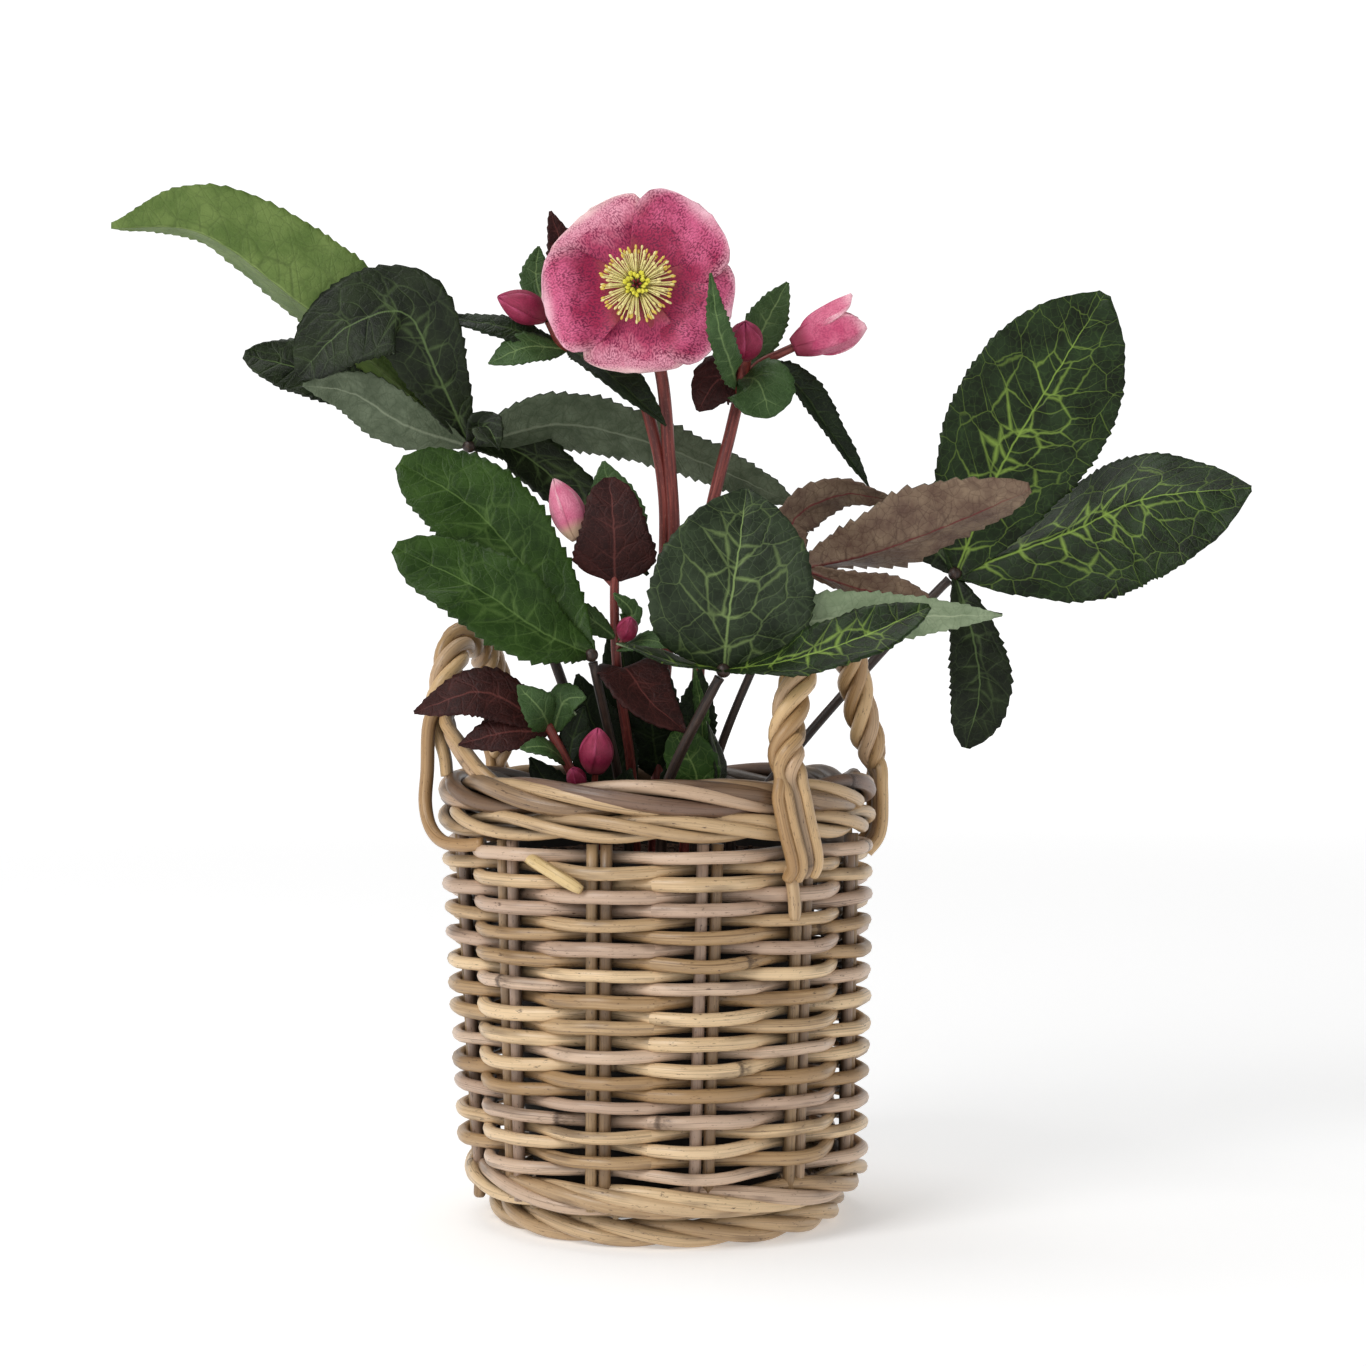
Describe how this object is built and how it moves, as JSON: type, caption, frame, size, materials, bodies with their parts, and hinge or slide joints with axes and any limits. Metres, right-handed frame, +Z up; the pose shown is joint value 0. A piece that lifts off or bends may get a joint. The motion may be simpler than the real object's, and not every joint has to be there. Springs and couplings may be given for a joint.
{
  "type": "hellebore plant in a basket",
  "caption": "Hellebore in flower with marbled compound leaves, standing in its nursery pot inside a round woven rattan basket with two twisted rope handles.",
  "frame": {"origin": "on the floor, under the middle of the whole plant's box", "axes": "+Z up, -Y towards the front that the open flower faces, +X to the viewer's right"},
  "size_m": [0.4786, 0.1904, 0.4317],
  "materials": {
    "rattan": "smooth natural rattan",
    "rattan_dark": "smooth darker rattan",
    "rattan_light": "smooth golden rattan",
    "pot_plastic": "matt",
    "soil": "rough potting soil",
    "leaf": "satin, net veined",
    "leaf_brown": "satin",
    "leaf_stalk": "satin",
    "flower_stem": "satin",
    "petal": "silky, speckled",
    "stamen": "matt"
  },
  "bodies": {
    "root": {"foot_ring": "rattan", "base_disc": "rattan_dark", "woven_wall": "rattan", "rim_border": "rattan_dark", "left_handle": "rattan_light", "right_handle": "rattan_light", "nursery_pot": "pot_plastic", "soil": "soil", "left_upper_leaf_stalk": "leaf_stalk", "left_upper_leaf": "leaf", "left_lower_leaf_stalk": "leaf_stalk", "left_lower_leaf": "leaf", "front_leaf_stalk": "leaf_stalk", "front_leaf": "leaf", "middle_leaf_stalk": "leaf_stalk", "middle_leaf": "leaf_brown", "right_leaf_stalk": "leaf_stalk", "right_leaf": "leaf", "young_leaf_stalk": "leaf_stalk", "young_leaf": "leaf", "main_flower_stem": "flower_stem", "right_flower_stem": "flower_stem", "middle_flower_stem": "flower_stem", "low_flower_stem": "flower_stem", "flower": "petal", "flower_stamens": "stamen", "opening_bud": "petal", "left_top_bud": "petal", "round_bud": "petal", "middle_bud": "petal", "small_bud": "petal", "low_bud": "petal", "lowest_bud": "petal"}
  },
  "joints": []
}
